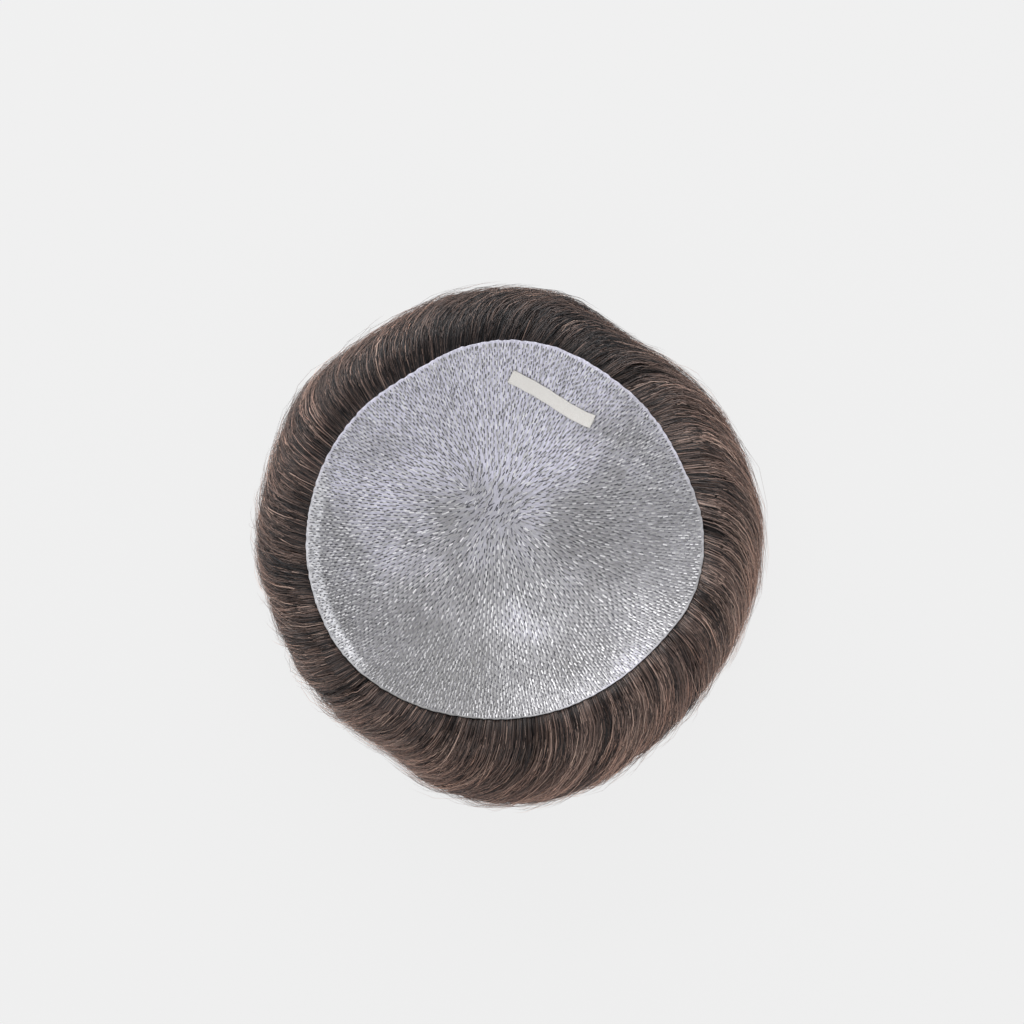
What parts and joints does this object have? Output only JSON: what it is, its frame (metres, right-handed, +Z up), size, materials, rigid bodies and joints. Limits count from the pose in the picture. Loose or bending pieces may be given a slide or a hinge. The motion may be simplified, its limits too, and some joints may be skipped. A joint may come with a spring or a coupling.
{
  "type": "toupee hairpiece",
  "caption": "Toupee lying on its hair: a thin, dimpled skin base shaped as a shallow bowl that opens upwards, ringed by swept brown hair, with a bare woven tape on the base.",
  "frame": {"origin": "middle of the flat patch of hair that the piece rests on", "axes": "+Z up through the open bowl of the base, +Y towards the label's side of the rim, +X to the right of a viewer who looks along +Y"},
  "size_m": [0.2026, 0.2122, 0.0673],
  "materials": {
    "skin_film": "thin translucent film with knotted-in hair loops",
    "hair_fibre": "dark brown hair with lighter strands, satin",
    "woven_tape": "bare cream woven tape"
  },
  "bodies": {
    "root": {"base_skin": "skin_film", "hair": "hair_fibre", "label_tape": "woven_tape"}
  },
  "joints": []
}
